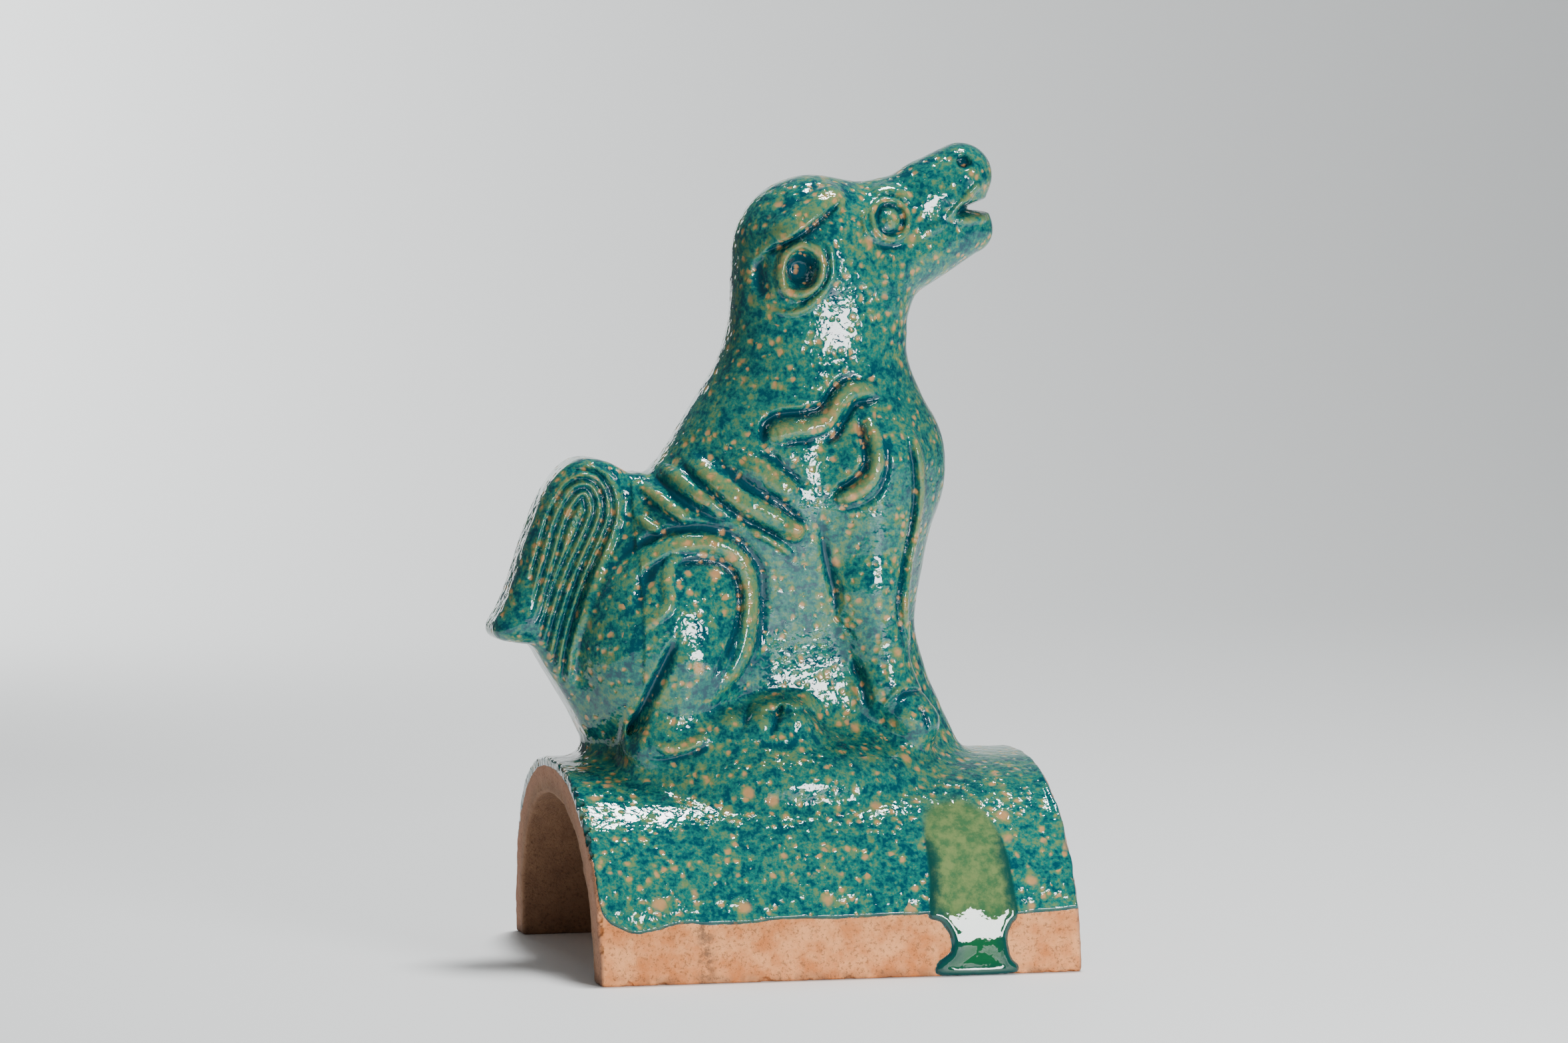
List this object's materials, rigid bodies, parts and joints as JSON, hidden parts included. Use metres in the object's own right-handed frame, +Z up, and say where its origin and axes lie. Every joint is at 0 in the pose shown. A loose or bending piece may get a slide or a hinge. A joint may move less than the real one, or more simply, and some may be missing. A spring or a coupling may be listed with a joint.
{
  "type": "ridge beast roof ornament",
  "caption": "Glazed earthenware ridge beast: a seated hound looking up with an open mouth, on a half-barrel ridge tile whose straight rails rest on a flat base or ridge.",
  "frame": {"origin": "on the bedding plane under the tile's rails, below the middle of the whole length and on the middle plane", "axes": "+X towards the beast's snout, +Y to the beast's left, +Z up"},
  "size_m": [0.2224, 0.176, 0.3293],
  "materials": {
    "glaze": "glossy teal glaze with peach speckles over a bare salmon clay foot"
  },
  "bodies": {
    "root": {"ridge_beast": "glaze"}
  },
  "joints": []
}
